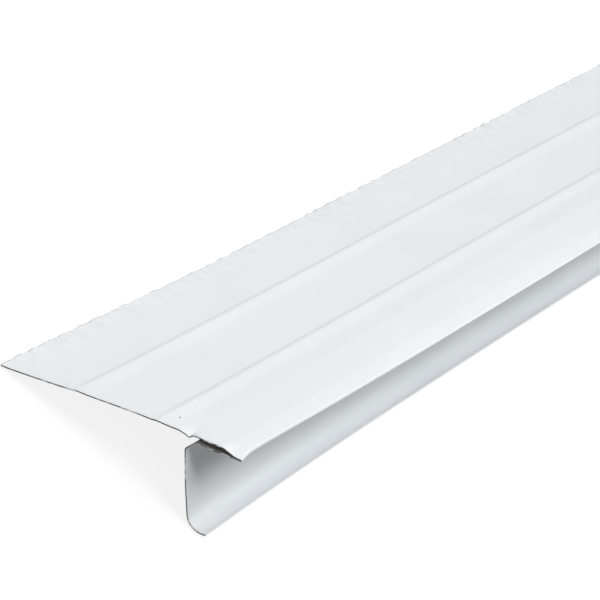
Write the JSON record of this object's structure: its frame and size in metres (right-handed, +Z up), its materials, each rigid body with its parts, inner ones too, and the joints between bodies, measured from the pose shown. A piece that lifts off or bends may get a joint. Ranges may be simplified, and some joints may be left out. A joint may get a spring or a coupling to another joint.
{
  "type": "drip edge flashing",
  "caption": "Roll-formed sheet flashing for a roof edge: beaded roof flange with a rippled back edge, folded drip nose and a leg with a kicked lip.",
  "frame": {"origin": "centre of the bounding box's bottom, on the floor that the flashing lies on", "axes": "+Y along the length, +X from the rippled back edge towards the drip nose, +Z up; the roof flange leans up towards the nose by 22.11 degrees, because the piece rests on its back edge and on the lip of its leg"},
  "size_m": [0.0714, 3.048, 0.0279],
  "materials": {
    "enamelled_sheet": "white baked-on coil coating, low satin sheen, on thin aluminium sheet; bare metal at the cut edges"
  },
  "bodies": {
    "root": {"drip_edge": "enamelled_sheet"}
  },
  "joints": []
}
